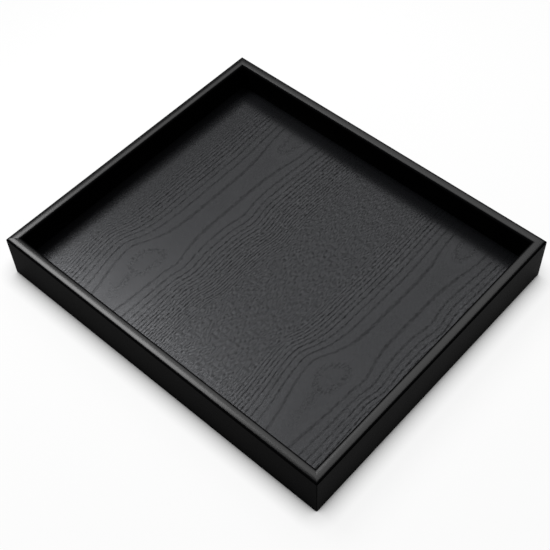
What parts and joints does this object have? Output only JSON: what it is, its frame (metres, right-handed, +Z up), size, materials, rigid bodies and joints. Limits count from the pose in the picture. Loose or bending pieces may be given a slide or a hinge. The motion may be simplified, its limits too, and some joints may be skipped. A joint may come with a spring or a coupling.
{
  "type": "serving tray",
  "caption": "Rectangular black lacquered wooden serving tray with mitred upright rails round a recessed wood-grained panel.",
  "frame": {"origin": "under the middle of the tray, on the surface that it stands on", "axes": "+X along the long sides to the right, +Y along the short sides to the back, +Z up"},
  "size_m": [0.4, 0.34, 0.053],
  "materials": {
    "lacquered_rail": "satin black lacquer",
    "stained_veneer": "black stain, open grain, satin",
    "panel_board": "raw fibreboard",
    "pressed_beech": "raw"
  },
  "bodies": {
    "root": {"rail_front": "lacquered_rail", "rail_right": "lacquered_rail", "rail_back": "lacquered_rail", "rail_left": "lacquered_rail", "face_veneer": "stained_veneer", "panel_core": "panel_board", "backing_veneer": "stained_veneer", "corner_key_front_left": "pressed_beech", "corner_key_front_right": "pressed_beech", "corner_key_back_right": "pressed_beech", "corner_key_back_left": "pressed_beech"}
  },
  "joints": []
}
